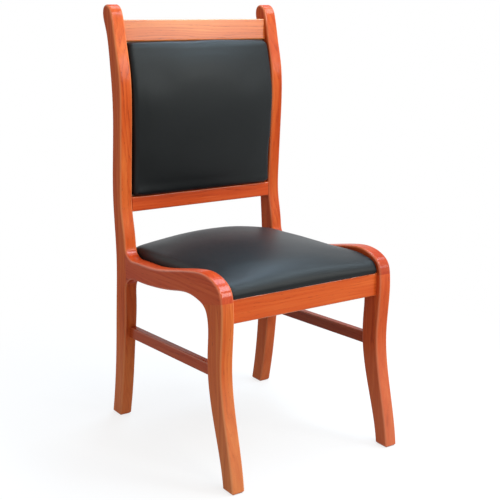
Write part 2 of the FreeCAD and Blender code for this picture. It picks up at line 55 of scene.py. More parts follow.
# Camera at the photograph's place
EYE = Vector((-1.2459, -1.8584, 0.9729))
AIM = Vector((-0.0014, -0.0078, 0.4389))
LENS_MM = 72.05

# Lamps: place, aim, width and height, brightness beside white paper, and colour
WARM_WHITE = (1.0, 0.97, 0.94)
SOFTBOXES = {
    "side_softbox": ((1.40, -2.13, 1.52), (0, 0.2, 0.9), (0.8, 0.85), 10.0, WARM_WHITE),
    "front_softbox": ((0.1, -1.9, 2.35), (0, 0, 0.5), (1.0, 0.8), 9.5, WARM_WHITE),
    "corner_softbox": ((1.07, -0.70, 2.19), (-0.1, -0.15, 0.45), (1.3, 0.65), 12.0, (0.70, 0.86, 1.0)),
    "top_softbox": ((0.62, 0.50, 2.34), (-0.1, -0.1, 0.45), (0.9, 1.1), 9.3, (0.58, 0.79, 1.0)),
}
AMBIENT = 0.53

# Floor: half its side, how far it lies under the feet, how white it looks beside the chair,
# the distances over which it turns white, and its colours for bounced light and for the eye
FLOOR_HALF = 6.0
FLOOR_DROP = 0.4 * MM
FLOOR_WHITE = 0.78
FLOOR_FADE = (0.45, 1.2)
FLOOR_BOUNCE = (0.38, 0.37, 0.36, 1)
FLOOR_SEEN = (0.95, 0.95, 0.95, 1)

# Lacquered pieces: the axis that the grain runs along, the axis across the rounded edges, the tone,
# and how full the lacquer is. The tones hold painted light: the far (left) pieces and the stretchers
# are darker, which is painted shade, and the crest rail's paler, pinker tone is a painted reflection.
WOODEN = {
    "right_rear_post": ("Z", "X", (1.0, 1.0, 1.0), 0.5),
    # Darker tones on the far (left) pieces and on the stretchers are painted shade
    "left_rear_post": ("Z", "X", (0.84, 0.72, 0.72), 0.5),
    "right_side_rail": ("Y", "X", (0.91, 0.69, 0.69), 1.0),
    "left_side_rail": ("Y", "X", (0.70, 0.52, 0.55), 1.0),
    "right_front_leg": ("Z", "X", (1.0, 1.1, 1.05), 1.0),
    "left_front_leg": ("Z", "X", (0.90, 0.76, 0.86), 1.0),
    "right_stretcher": ("Y", "X", (0.70, 0.56, 0.65), 1.0),
    "left_stretcher": ("Y", "X", (0.48, 0.34, 0.38), 1.0),
    "front_seat_rail": ("X", "Y", (1.0, 0.95, 0.90), 1.0),
    "rear_seat_rail": ("X", "Y", (1.0, 1.0, 1.0), 1.0),
    # Paler, pinker tone: a painted reflection on the crest rail
    "crest_rail": ("X", "Y", (0.93, 1.32, 1.45), 1.0),
    "lower_back_rail": ("X", "Y", (0.92, 0.72, 0.70), 1.0),
}
# Turns that bring each grain axis onto X
GRAIN_TURNS = {"X": (0, 0, 0), "Y": (0, 0, -math.pi / 2), "Z": (0, math.pi / 2, 0)}

# Growth rings: their number, how far they wander, and how pale each part of a year is
RINGS_PER_METRE = 130
RING_WANDER = 0.055
RING_STOPS = [(0.0, 0.15), (0.14, 0.45), (0.5, 0.85), (0.88, 1.0), (1.0, 0.15)]
# Heights over which the stain goes from paler near the floor to its full colour
PALE_FOOT_HEIGHTS = (0.02, 0.34)

# Colours
STAIN_PALE = (0.76, 0.175, 0.036, 1)
STAIN_MID = (0.62, 0.095, 0.016, 1)
STAIN_DEEP = (0.36, 0.040, 0.008, 1)
STAIN_IN_PORES = (0.17, 0.018, 0.006, 1)
# Paler stain on rounded edges: partly thinner stain, partly a painted highlight of the lacquer
STAIN_AND_HIGHLIGHT_ON_EDGES = (0.84, 0.28, 0.10, 1)
STAIN_NEAR_FLOOR = (0.76, 0.24, 0.08, 1)
# Deep red on end grain, and on level faces, where it is painted shade
STAIN_ON_ENDS_AND_SHADED_TOPS = (0.54, 0.042, 0.008, 1)
LEATHER_BLACK = (0.0031, 0.0032, 0.0032, 1)
LEATHER_GREY = (0.0068, 0.0071, 0.0073, 1)
LEATHER_SHINE = (0.86, 0.94, 0.94, 1)
LEATHER_BLOOM = (0.66, 0.82, 1.0, 1)
BEECH_PALE = (0.66, 0.47, 0.29, 1)
BEECH_DARK = (0.50, 0.33, 0.19, 1)
CLOTH_BLACK = (0.012, 0.012, 0.013, 1)
CLOTH_GREY = (0.035, 0.035, 0.037, 1)
ZINC_PALE = (0.62, 0.62, 0.60, 1)
ZINC_DARK = (0.42, 0.43, 0.43, 1)

# Patterns: waves to a metre along each axis, and along the grain first in wood
WANDER_WAVES = (2.2, 14, 14)
CONTRAST_WAVES = (2.5, 40, 40)
FIBRE_WAVES = (8, 420, 420)
STREAK_WAVES = (1.8, 75, 75)
BLOTCH_WAVES = (4, 10, 10)
PORE_WAVES = (50, 1300, 1300)
BEECH_FLECK_WAVES = (160, 900, 900)
BEECH_STREAK_WAVES = (6, 220, 220)
VENEER_WAVES = (14, 300, 300)
LEATHER_FINE_WAVES = (2400, 2400, 2400)
LEATHER_BROAD_WAVES = (9, 9, 9)
CLOTH_FIBRE_WAVES = (900, 260, 400)
ZINC_BLOOM_WAVES = (420, 420, 420)
TURNING_WAVES = (2600, 300, 300)

# Finer makings: a veneer's thickness, the leather's pebbles, how far and how often they wander, and
# the cloth's dots
VENEER = 1.5 * MM
PEBBLES_PER_METRE = 620.0
PEBBLE_WANDER = 1.6 * MM
PEBBLE_WANDERS_PER_METRE = 160.0
DOTS_PER_METRE = 560.0

# Both pads: mesh size, swelling, evening out, reach to the sides, room to other pieces, unevenness
VOXEL = 5 * MM
SWELL_FRAMES = 20
SWELL_PRESSURE = 4.0
SPREAD_ROUNDS = 60
PAD_EVENING = 3
PAD_REACH = 192.2 * MM
PAD_GAP = 0.15 * MM
PAD_UNEVEN = 0.6 * MM

# Seat pad: its height before swelling, how far it may swell, the heights that are held, the leather
# turned under, evening out and unevenness
SEAT_START = 0.94
SEAT_SWELL = 4 * MM
SEAT_HELD = 7 * MM
SEAT_TURN = 30 * MM
SEAT_EVENING = 12
SEAT_WAVELENGTH = 100 * MM
SEAT_SEED = 3.0
# Shoulders beside the knees, by distance behind the front edge, by height and by share of the width
SEAT_SHOULDER = 5 * MM
SEAT_KNEES_FADE = (45 * MM, 150 * MM)
SEAT_SHOULDER_START = (-20 * MM, 14 * MM)
SEAT_SHOULDER_HEIGHTS = (6 * MM, 22 * MM)
SEAT_SQUEEZE = 6 * MM
SEAT_SQUEEZE_SIDES = (0.85, 0.97)
SEAT_SQUEEZE_HEIGHTS = (4 * MM, 14 * MM)
# Nose over the front rail: its bulge is fullest at one height and ends at another, and its lip hangs
SEAT_NOSE = 3.5 * MM
SEAT_NOSE_FADE = (5 * MM, 45 * MM)
SEAT_NOSE_HEIGHT = 7 * MM
SEAT_NOSE_TOP = 24 * MM
SEAT_HANG = 4 * MM
SEAT_HANG_EDGE = 1 * MM
SEAT_HANG_HEIGHT = 16 * MM

# Back pad: how far it may swell, the depths that are held, unevenness, its leather, and the depths
# before its board over which the leather and the front begin
BACK_SWELL = 3 * MM
BACK_HELD = 6 * MM
BACK_WAVELENGTH = 85 * MM
BACK_SEED = 11.0
LEATHER_THICKNESS = 1.2 * MM
BACK_LEATHER_DEPTHS = (0.5 * MM, 3 * MM)
BACK_FRONT_DEPTHS = (5 * MM, 14 * MM)
BACK_BOARD_INSET = 1 * MM
# Shoulders by the posts, which lose fullness over these shares of the height, and the upper corners
BACK_SHOULDER = 14 * MM
BACK_HEAD_LOSS = 0.65
BACK_HEAD_SHARES = (0.6, 1.0)
BACK_FOOT_LOSS = 0.35
BACK_FOOT_SHARES = (0.0, 0.35)
BACK_CORNER = 20 * MM
# Bulges at the foot and the head, and how far up or down each reaches
BACK_FOOT = 4 * MM
BACK_FOOT_HEIGHT = 30 * MM
BACK_HEAD = 2 * MM
BACK_HEAD_HEIGHT = 25 * MM
# Lip that hangs over the lower rail, and top edge that rises over the crest rail in a soft wave
BACK_HANG = 3.5 * MM
BACK_HANG_HEIGHT = 14 * MM
BACK_HANG_DEPTHS = (16 * MM, 22 * MM)
BACK_RISE = 1.4 * MM
BACK_RISE_HEIGHT = 14 * MM
BACK_RISE_DEPTHS = (9 * MM, 14 * MM)
BACK_HUMP = 1.8 * MM
BACK_HUMP_PLACE = 50 * MM
BACK_HUMP_WIDTH = 80 * MM
BACK_RIPPLE = 0.4 * MM
BACK_RIPPLE_LENGTH = 21 * MM
# Crest rail: height over its lower edge where its front is found, and the room left before it
CREST_LIP = 3 * MM
CREST_ROOM = 1.5 * MM

# Rear panel: points each way, the roll of its edges, their thickness, its padding, room for casting
PANEL_POINTS = 56
PANEL_ROLL = 4 * MM
PANEL_EDGE = 0.8 * MM
PANEL_PADDING = 1.2 * MM
PANEL_INSET = 0.3 * MM

# Dust cloth: thickness, cut corners, slack, puckers, and points across and along
DUST_THICKNESS = 0.6 * MM
DUST_CUT = 68 * MM
DUST_SAG = 2.5 * MM
DUST_SAG_FADE = 60 * MM
DUST_PUCKER = 0.5 * MM
DUST_PUCKERS = 34
DUST_PUCKER_DRIFT = 2
DUST_PUCKER_DRIFTS = 5
DUST_PUCKER_FADE = 22 * MM
DUST_PUCKER_START = 8 * MM
DUST_COLUMNS = 64
DUST_CORNER_ROWS = 12
DUST_MIDDLE_ROWS = 40

# Staples: size, how flat the wire is, place and chance turn
STAPLE_LENGTH = 10 * MM
STAPLE_LEG = 4 * MM
STAPLE_WIRE = 0.7 * MM
STAPLE_FLATNESS = 0.8
STAPLE_INSET = 9 * MM
STAPLE_DROP = 1.6 * MM
STAPLE_SPACING = 42 * MM
STAPLE_TURN = math.radians(9)
STAPLE_SEED = 5

# Screws: sides, head, shank, point, the tip's radius and height, and the cross recess: its half width,
# half length and depth, and how far its cutter stands out
SCREW_SIDES = 28
SCREW_HEAD = 8 * MM
SCREW_HEAD_HEIGHT = 3 * MM
SCREW_DOME_STEPS = 6
SCREW_DOME = 0.62
SCREW_DOME_POWER = 0.8
SCREW_RIM = 0.86
SCREW_BEVEL = 0.3 * MM
SCREW_SHANK = 4 * MM
SCREW_POINT = 4 * MM
SCREW_TIP = (0.3 * MM, 0.4 * MM)
RECESS_WIDTH = 0.55 * MM
RECESS_LENGTH = 2.1 * MM
RECESS_DEPTH = 1.3 * MM
RECESS_OVER = 1 * MM

# Meshes: the angle past which an edge stays sharp, and the distance at which points are one
SHARP_ANGLE = math.radians(50)
SAME_POINT = 0.01 * MM

# Node types whose names begin with their own family
OTHER_FAMILIES = ("Geometry", "Function", "NodeGroup")


# Node maths
class Shade:
    """A socket in a node tree. Operators on values add Math nodes, and node() adds any other."""

    def __init__(self, tree, socket=None):
        self.tree = tree
        self.socket = socket

    def node(self, kind, settings=None, sockets=None, output=0):
        """Adds a node, gives it its settings and its sockets' values or links, and returns an output."""
        family = "" if kind.startswith(OTHER_FAMILIES) else "ShaderNode"
        made = self.tree.nodes.new(family + kind)
        for name, value in (settings or {}).items():
            if name == "stops":
                set_stops(made.color_ramp, value)
            else:
                setattr(made, name, value)
        for key, value in (sockets or {}).items():
            if isinstance(value, Shade):
                self.tree.links.new(value.socket, made.inputs[key])
            else:
                made.inputs[key].default_value = value
        return Shade(self.tree, made.outputs[output] if made.outputs else None)

    def math(self, operation, *values):
        return self.node("Math", {"operation": operation}, dict(enumerate(values)))

    def __add__(self, other):
        return self.math("ADD", self, other)

    __radd__ = __add__

    def __sub__(self, other):
        return self.math("SUBTRACT", self, other)

    def __rsub__(self, other):
        return self.math("SUBTRACT", other, self)

    def __mul__(self, other):
        return self.math("MULTIPLY", self, other)

    __rmul__ = __mul__

    def __truediv__(self, other):
        return self.math("DIVIDE", self, other)

    def step(self, low, high):
        """Rises smoothly from 0 to 1 as the value goes from low to high."""
        return self.node(
            "MapRange", {"interpolation_type": "SMOOTHSTEP"},
            {"Value": self, "From Min": low, "From Max": high},
        )

    def between(self, first, second):
        """The colour this far from the first to the second."""
        return self.node("Mix", {"data_type": "RGBA"}, {0: self, 6: first, 7: second}, output=2)

    def scaled(self, factors):
        """A vector or colour with each part multiplied."""
        return self.node("VectorMath", {"operation": "MULTIPLY"}, {0: self, 1: factors})

    def length(self):
        """A vector's length."""
        return self.node("VectorMath", {"operation": "LENGTH"}, {0: self}, output="Value")

    def part(self, axis):
        """One part of a vector."""
        return self.node("SeparateXYZ", {}, {"Vector": self}, output=axis)

    def clouds(self, waves, detail=2.0, roughness=0.5):
        """Noise from 0 to 1 at a place, with this many waves to a metre along each axis."""
        return self.node("TexNoise", {}, {
            "Vector": self.scaled(waves), "Scale": 1.0, "Detail": detail, "Roughness": roughness,
        })


def set_stops(ramp, stops):
    """Gives a colour ramp its stops, as (place, grey)."""
    while len(ramp.elements) < len(stops):
        ramp.elements.new(0.5)
    for element, (place, grey) in zip(ramp.elements, stops):
        element.position = place
        element.color = (grey, grey, grey, 1)


def new_finish(name):
    """An empty material, and a start for its nodes."""
    finish = bpy.data.materials.new(name)
    finish.use_nodes = True
    finish.node_tree.nodes.clear()
    return finish, Shade(finish.node_tree)


def surface(start, sockets):
    """Ends a material in one shader with these sockets."""
    shader = start.node("BsdfPrincipled", {}, sockets)
    start.node("OutputMaterial", {}, {"Surface": shader})


def bumped(start, height, strength, distance):
    """A normal that follows a height."""
    return start.node("Bump", {}, {"Height": height, "Strength": strength, "Distance": distance})


def object_place(start):
    return start.node("TexCoord", output="Object")


# Lacquered wood
def board_place(start, name, grain):
    """Places in the board that a piece was sawn from: X along the grain, and the tree's heart beside it."""
    chance = random.Random(name)
    heart = (chance.uniform(-1, 1), chance.uniform(0.06, 0.14), chance.uniform(-0.04, 0.04))
    return start.node("Mapping", {}, {
        "Vector": object_place(start), "Rotation": GRAIN_TURNS[grain], "Location": heart,
    })


def growth_ring(start, board):
    """How far through its year each place grew, from 0 to 1."""
    radius = board.scaled((0, 1, 1)).length()
    wander = board.clouds(WANDER_WAVES, 3.0, 0.55)
    return start.math("FRACT", (radius + wander * RING_WANDER) * RINGS_PER_METRE)


def stained(paleness, pores):
    """The stain on a sawn face: deep, middling or pale, and darkest in the pores."""
    stain = paleness.step(0.08, 0.46).between(STAIN_DEEP, STAIN_MID)
    stain = paleness.step(0.40, 0.86).between(stain, STAIN_PALE)
    return (pores * 0.7).between(stain, STAIN_IN_PORES)


def level_faces(facing):
    """1 on faces that look straight up, and 0 on steep ones."""
    return facing.part("Z").step(0.55, 0.95)


def rounded_edges(facing, axis):
    """1 halfway round an edge whose two faces look along this axis and across it, and 0 on both faces."""
    lean = facing.part(axis)
    square = lean * lean
    return 4 * square * (1 - square)


def lacquer_gloss(facing, blotches):
    """Lacquer that is fullest on faces that lean up, and thin on level ones and on the sides."""
    upwards = facing.part("Z").step(-0.05, 0.22)
    sideways = facing.part("X")
    gloss = 0.22 + 0.08 * blotches + 0.50 * upwards
    return gloss - 0.40 * level_faces(facing) - 0.12 * sideways * sideways


def lacquered_wood(name, grain, rim, tone, fullness):
    """Ring-porous hardwood with an orange-red stain under clear lacquer; its colour also holds painted
    shade on level faces and in the piece's tone, and a painted highlight on rounded edges.
    """
    finish, start = new_finish(f"lacquered_{name}")
    board = board_place(start, name, grain)
    ring = growth_ring(start, board)
    season = start.node("ValToRGB", {"stops": RING_STOPS}, {"Fac": ring})
    contrast = board.clouds(CONTRAST_WAVES).step(0.35, 0.65)
    fibres = board.clouds(FIBRE_WAVES, 4.0, 0.6)
    streaks = board.clouds(STREAK_WAVES, 3.0, 0.55)
    blotches = board.clouds(BLOTCH_WAVES)
    pores = board.clouds(PORE_WAVES, 1.0).step(0.58, 0.70) * (1 - ring).step(0.5, 1.0)
    ringed = 1 - contrast * (1 - season)
    stain = stained(ringed * 0.28 + fibres * 0.28 + streaks * 0.86 + blotches * 0.50 - 0.54, pores)
    # Paler, tanner stain towards the floor
    near_floor = 1 - object_place(start).part("Z").step(*PALE_FOOT_HEIGHTS)
    stain = (near_floor * (0.25 + 0.6 * streaks)).between(stain, STAIN_NEAR_FLOOR)
    facing = start.node("NewGeometry", output="Normal")
    end_on = facing.part(grain)
    # End grain takes more stain; level faces are darkened too, which is painted shade on the tops
    stain = (end_on * end_on * 0.35 + level_faces(facing) * 0.30).between(stain, STAIN_ON_ENDS_AND_SHADED_TOPS)
    edges = rounded_edges(facing, rim)
    # Rounded edges paler: partly thinner stain, partly a painted highlight
    stain = (edges * (0.25 + 0.55 * blotches)).between(stain, STAIN_AND_HIGHLIGHT_ON_EDGES)
    # The tone carries painted shade on the far pieces and a painted reflection on the crest rail
    surface(start, {
        "Base Color": stain.scaled(tone),
        "Roughness": 0.50 - 0.10 * season + 0.08 * fibres,
        "Specular IOR Level": 0.03,
        "Coat Weight": fullness * lacquer_gloss(facing, blotches) + 0.35 * edges,
        "Coat IOR": 1.45,
        "Coat Roughness": 0.15,
        "Normal": bumped(start, fibres * 0.35 - pores, 0.2, 0.25 * MM),
    })
    return finish


# Other finishes
def black_leather():
    """Smooth black leather with a fine pebbled grain."""
    finish, start = new_finish("black_leather")
    place = object_place(start)
    wander = start.node("TexNoise", {}, {
        "Vector": place, "Scale": PEBBLE_WANDERS_PER_METRE, "Detail": 2.0,
    }, output="Color")
    shift = start.node("VectorMath", {"operation": "SCALE"}, {0: wander, "Scale": PEBBLE_WANDER})
    shifted = start.node("VectorMath", {"operation": "ADD"}, {0: place, 1: shift})
    creases = start.node("TexVoronoi", {"feature": "DISTANCE_TO_EDGE"}, {
        "Vector": shifted, "Scale": PEBBLES_PER_METRE,
    })
    pebbles = creases.step(0.0, 0.16)
    fine = place.clouds(LEATHER_FINE_WAVES)
    broad = place.clouds(LEATHER_BROAD_WAVES, 3.0)
    surface(start, {
        "Base Color": (0.55 * pebbles + 0.45 * broad).between(LEATHER_BLACK, LEATHER_GREY),
        "Roughness": 0.46 - 0.06 * pebbles + 0.10 * (broad - 0.5),
        "Specular IOR Level": 0.225,
        "Specular Tint": LEATHER_SHINE,
        "Sheen Weight": 0.035,
        "Sheen Roughness": 0.5,
        "Sheen Tint": LEATHER_BLOOM,
        "Normal": bumped(start, pebbles * 0.8 + fine * 0.2, 0.22, 0.22 * MM),
    })
    return finish


def bare_beech(name, grain):
    """Bare beech with its short flecks."""
    finish, start = new_finish(f"beech_{name}")
    board = start.node("Mapping", {}, {"Vector": object_place(start), "Rotation": GRAIN_TURNS[grain]})
    flecks = board.clouds(BEECH_FLECK_WAVES, 1.0).step(0.58, 0.70)
    streaks = board.clouds(BEECH_STREAK_WAVES, 3.0)
    tone = (streaks * 0.8 + flecks * 0.5).step(0.2, 0.95).between(BEECH_PALE, BEECH_DARK)
    surface(start, {
        "Base Color": tone,
        "Roughness": 0.62 + 0.12 * streaks,
        "Specular IOR Level": 0.3,
        "Normal": bumped(start, streaks - flecks * 0.4, 0.2, 0.2 * MM),
    })
    return finish


def plywood(name, through):
    """Birch plywood, with its veneers stacked along an axis."""
    finish, start = new_finish(f"plywood_{name}")
    place = object_place(start)
    layer = start.math("FRACT", place.part(through) / (2 * VENEER))
    glue = layer.step(0.44, 0.5) - layer.step(0.94, 1.0)
    veneer = place.clouds(VENEER_WAVES, 3.0)
    surface(start, {
        "Base Color": (0.5 * veneer + 0.35 * glue).between(BEECH_PALE, BEECH_DARK),
        "Roughness": 0.66 + 0.1 * veneer,
        "Specular IOR Level": 0.3,
        "Normal": bumped(start, veneer, 0.15, 0.2 * MM),
    })
    return finish


def dust_cloth_finish():
    """Thin black spun cloth with rows of pressed dots and stray fibres."""
    finish, start = new_finish("dust_cloth")
    place = object_place(start)
    dots = start.node("TexVoronoi", {"feature": "F1"}, {
        "Vector": place, "Scale": DOTS_PER_METRE, "Randomness": 0.15,
    })
    fibres = place.clouds(CLOTH_FIBRE_WAVES, 3.0, 0.7)
    height = dots.step(0.1, 0.4) + fibres * 0.6
    surface(start, {
        "Base Color": (height * 0.55).between(CLOTH_BLACK, CLOTH_GREY),
        "Roughness": 0.86 + 0.1 * fibres,
        "Specular IOR Level": 0.2,
        "Normal": bumped(start, height, 0.4, 0.3 * MM),
    })
    return finish


def zinc_plated_steel():
    """Zinc-plated steel with faint turning marks."""
    finish, start = new_finish("zinc_plated_steel")
    place = object_place(start)
    bloom = place.clouds(ZINC_BLOOM_WAVES, 3.0)
    scratches = place.clouds(TURNING_WAVES)
    surface(start, {
        "Base Color": bloom.between(ZINC_DARK, ZINC_PALE),
        "Metallic": 1.0,
        "Roughness": 0.28 + 0.2 * bloom,
        "Normal": bumped(start, scratches, 0.12, 0.1 * MM),
    })
    return finish


# Mesh helpers
def new_piece(name, points, faces, finish):
    """A mesh object at the origin with a finish."""
    mesh = bpy.data.meshes.new(name)
    mesh.from_pydata([tuple(point) for point in points], [], [tuple(face) for face in faces])
    mesh.validate()
    piece = bpy.data.objects.new(name, mesh)
    scene.collection.objects.link(piece)
    piece.data.materials.append(finish)
    return piece


def guide_piece(name, points, edges):
    """Points and edges at the origin, for a node tree to work on."""
    mesh = bpy.data.meshes.new(name)
    mesh.from_pydata([tuple(point) for point in points], edges, [])
    piece = bpy.data.objects.new(name, mesh)
    scene.collection.objects.link(piece)
    return piece


def remove_piece(piece):
    mesh = piece.data
    bpy.data.objects.remove(piece)
    bpy.data.meshes.remove(mesh)


def rows_of(mesh, field):
    """One field of a mesh's points, as rows of X, Y, Z."""
    flat = np.empty(len(mesh.vertices) * 3, np.float32)
    mesh.vertices.foreach_get(field, flat)
    return flat.reshape(-1, 3).astype(float)


def points_of(piece):
    return rows_of(piece.data, "co")


def normals_of(piece):
    return rows_of(piece.data, "normal")


def move_points(piece, points):
    piece.data.vertices.foreach_set("co", np.asarray(points, np.float32).ravel())
    piece.data.update()


def mark_points(piece, name, where):
    """Puts points into a group, and returns its name."""
    group = piece.vertex_groups.new(name=name)
    group.add([int(index) for index in np.flatnonzero(where)], 1.0, "REPLACE")
    return group.name


def evaluated_mesh(piece):
    """A plain copy of what a piece's modifiers make of it."""
    graph = bpy.context.evaluated_depsgraph_get()
    return bpy.data.meshes.new_from_object(piece.evaluated_get(graph), depsgraph=graph)


def settle(piece):
    """Turns a piece's modifiers into plain mesh."""
    made = evaluated_mesh(piece)
    piece.modifiers.clear()
    old = piece.data
    piece.data = made
    bpy.data.meshes.remove(old)


def run_modifier(piece, kind, **settings):
    """Adds a modifier with these settings, and turns what it makes into plain mesh."""
    modifier = piece.modifiers.new(kind.lower(), kind)
    for name, value in settings.items():
        setattr(modifier, name, value)
    settle(piece)


def smooth_shaded(piece):
    for polygon in piece.data.polygons:
        polygon.use_smooth = True


def merged_points(node):
    """A node's mesh with its loose triangles joined up, as a new bmesh."""
    form = bmesh.new()
    form.from_mesh(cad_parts[node].data)
    bmesh.ops.remove_doubles(form, verts=form.verts, dist=SAME_POINT)
    return form


def closed_copy(name, node, finish, hull=False):
    """A closed mesh of a node's form, or of the form stretched round it."""
    form = merged_points(node)
    if hull:
        bmesh.ops.delete(form, geom=form.faces[:], context="FACES_ONLY")
        made = bmesh.ops.convex_hull(form, input=form.verts)
        inside = [part for part in made["geom_interior"] if isinstance(part, bmesh.types.BMVert)]
        bmesh.ops.delete(form, geom=inside, context="VERTS")
    bmesh.ops.recalc_face_normals(form, faces=form.faces)
    piece = new_piece(name, [], [], finish)
    form.to_mesh(piece.data)
    form.free()
    return piece


def hollow_out(piece, low, high):
    """Takes a box out of a closed piece."""
    corners = [(x, y, z) for x in (low.x, high.x) for y in (low.y, high.y) for z in (low.z, high.z)]
    sides = [(0, 1, 3, 2), (4, 6, 7, 5), (0, 4, 5, 1), (2, 3, 7, 6), (0, 2, 6, 4), (1, 5, 7, 3)]
    cutter = new_piece("cutter", corners, sides, piece.data.materials[0])
    run_modifier(piece, "BOOLEAN", operation="DIFFERENCE", solver="EXACT", object=cutter)
    piece.data.set_sharp_from_angle(angle=SHARP_ANGLE)
    remove_piece(cutter)


def tree_of(node):
    """A node's faces, to find points on."""
    return BVHTree.FromObject(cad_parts[node], bpy.context.evaluated_depsgraph_get())


def first_hit(tree, start, way):
    return tree.ray_cast(Vector(start), Vector(way))[0]


def smooth_step(values, low, high):
    """0 up to low, 1 from high on, and a smooth rise between."""
    share = np.clip((values - low) / (high - low), 0, 1)
    return share * share * (3 - 2 * share)


# Pads
def swell(piece, held, cap):
    """Blows a closed form up as cloth, held fast where told, and keeps how far each point went outwards."""
    start = points_of(piece)
    outwards = normals_of(piece)
    cloth = piece.modifiers.new("swell", "CLOTH")
    cloth.settings.vertex_group_mass = mark_points(piece, "held", held)
    cloth.settings.use_pressure = True
    cloth.settings.uniform_pressure_force = SWELL_PRESSURE
    cloth.settings.effector_weights.gravity = 0
    cloth.collision_settings.use_collision = False
    cloth.point_cache.frame_start = 1
    cloth.point_cache.frame_end = SWELL_FRAMES
    for frame_number in range(1, SWELL_FRAMES + 1):
        scene.frame_set(frame_number)
    swollen = evaluated_mesh(piece)
    way = np.sum((rows_of(swollen, "co") - start) * outwards, axis=1)
    bpy.data.meshes.remove(swollen)
    piece.modifiers.clear()
    piece.vertex_groups.clear()
    scene.frame_set(1)
    way = spread(piece.data, np.clip(way, 0, cap))
    move_points(piece, start + outwards * way[:, None])


def spread(mesh, values):
    """Evens values out over neighbouring points, as stiff leather does."""
    ends = np.empty(len(mesh.edges) * 2, np.int32)
    mesh.edges.foreach_get("vertices", ends)
    one, other = ends.reshape(-1, 2).T
    count = np.bincount(ends, minlength=len(values))
    for _ in range(SPREAD_ROUNDS):
        total = np.bincount(one, values[other], len(values)) + np.bincount(other, values[one], len(values))
        values = (values + total / count) / 2
    return values


def uneven(piece, wavelength, seed):
    """Gentle unevenness along a piece's normals."""
    points = points_of(piece)
    offset = Vector((seed, seed * 1.7, seed * 0.3))
    amount = np.array([noise.noise(Vector(point) / wavelength + offset) for point in points])
    move_points(piece, points + normals_of(piece) * (amount * PAD_UNEVEN)[:, None])


def smoothed(piece, rounds, where=None):
    """Evens a piece out, everywhere or only where told."""
    group = "" if where is None else mark_points(piece, "even_out", where)
    run_modifier(piece, "SMOOTH", factor=0.5, iterations=rounds, vertex_group=group)
    piece.vertex_groups.clear()


def subdivide(piece):
    run_modifier(piece, "SUBSURF", levels=1, render_levels=1)
    smooth_shaded(piece)


def seat_pad(finish):
    """The drop-in seat: a crowned pad that fills the frame, with its leather turned under the board."""
    piece = closed_copy("seat_pad", "seat_cover", finish, hull=True)
    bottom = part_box("seat_cover")[0].z
    points = points_of(piece)
    points[:, 2] = bottom + (points[:, 2] - bottom) * SEAT_START
    move_points(piece, points)
    run_modifier(piece, "REMESH", mode="VOXEL", voxel_size=VOXEL)
    swell(piece, points_of(piece)[:, 2] - bottom < SEAT_HELD, SEAT_SWELL)
    move_points(piece, fuller_seat(points_of(piece)))
    uneven(piece, SEAT_WAVELENGTH, SEAT_SEED)
    smoothed(piece, PAD_EVENING)
    smoothed(piece, SEAT_EVENING, points_of(piece)[:, 2] > bottom + SEAT_HELD)
    subdivide(piece)
    fit_to_frame(piece, bottom)
    return piece


def fuller_seat(points):
    """Shoulders that fill the room beside the knees, and a nose that bulges over the front rail."""
    low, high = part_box("seat_cover")
    x, y, z = points.T
    side = np.abs(x) / high.x
    height = z - low.z
    behind = y - low.y
    by_knees = 1 - smooth_step(behind, *SEAT_KNEES_FADE)
    shoulder = smooth_step(behind, *SEAT_SHOULDER_START) * smooth_step(height, *SEAT_SHOULDER_HEIGHTS)
    lift = SEAT_SHOULDER * side ** 5 * by_knees * shoulder
    bulge = smooth_step(height, 0, SEAT_NOSE_HEIGHT) - smooth_step(height, SEAT_NOSE_HEIGHT, SEAT_NOSE_TOP)
    y = y - SEAT_NOSE * (1 - smooth_step(behind, *SEAT_NOSE_FADE)) * bulge
    before_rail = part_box("front_seat_rail")[0].y - y
    hang = SEAT_HANG * smooth_step(before_rail, -SEAT_HANG_EDGE, SEAT_HANG_EDGE)
    hang = hang * (1 - smooth_step(height, 0, SEAT_HANG_HEIGHT))
    squeezed = smooth_step(side, *SEAT_SQUEEZE_SIDES) * smooth_step(height, *SEAT_SQUEEZE_HEIGHTS)
    x = x + np.sign(x) * SEAT_SQUEEZE * by_knees * squeezed
    return np.column_stack([x, y, z + lift - hang])


def fit_to_frame(piece, bottom):
    """Keeps the seat within the side frames and on its rails, and leaves its board free from below."""
    points = points_of(piece)
    points[:, 0] = np.clip(points[:, 0], -PAD_REACH, PAD_REACH)
    on_frame = points[:, 1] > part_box("front_seat_rail")[0].y - PAD_GAP
    points[:, 2] = np.where(on_frame, np.maximum(points[:, 2], bottom + PAD_GAP), points[:, 2])
    move_points(piece, points)
    low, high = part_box("seat_board")
    room = Vector((PAD_GAP, PAD_GAP, PAD_GAP))
    hollow_out(piece, low - room, high + room)
    turned_under = Vector((SEAT_TURN, SEAT_TURN, -SEAT_TURN))
    hollow_out(piece, low + turned_under, Vector((*(high - turned_under).xy, low.z)))


def back_pad(finish):
    """The back: a crowned pad on its bent board, held between the posts."""
    piece = closed_copy("back_pad", "back_foam", finish)
    board = tree_of("back_board")
    run_modifier(piece, "REMESH", mode="VOXEL", voxel_size=VOXEL)
    points = points_of(piece)
    depth = depth_before(board, points)
    leather = LEATHER_THICKNESS * smooth_step(depth, *BACK_LEATHER_DEPTHS)
    move_points(piece, points + normals_of(piece) * leather[:, None])
    swell(piece, depth < BACK_HELD, BACK_SWELL)
    points = points_of(piece)
    move_points(piece, fuller_back(points, depth_before(board, points)))
    uneven(piece, BACK_WAVELENGTH, BACK_SEED)
    smoothed(piece, PAD_EVENING)
    subdivide(piece)
    points = points_of(piece)
    points[:, 0] = np.clip(points[:, 0], -PAD_REACH, PAD_REACH)
    points[:, 1] += np.minimum(depth_before(board, points) - PAD_GAP, 0)
    move_points(piece, clear_of_rails(points))
    return piece


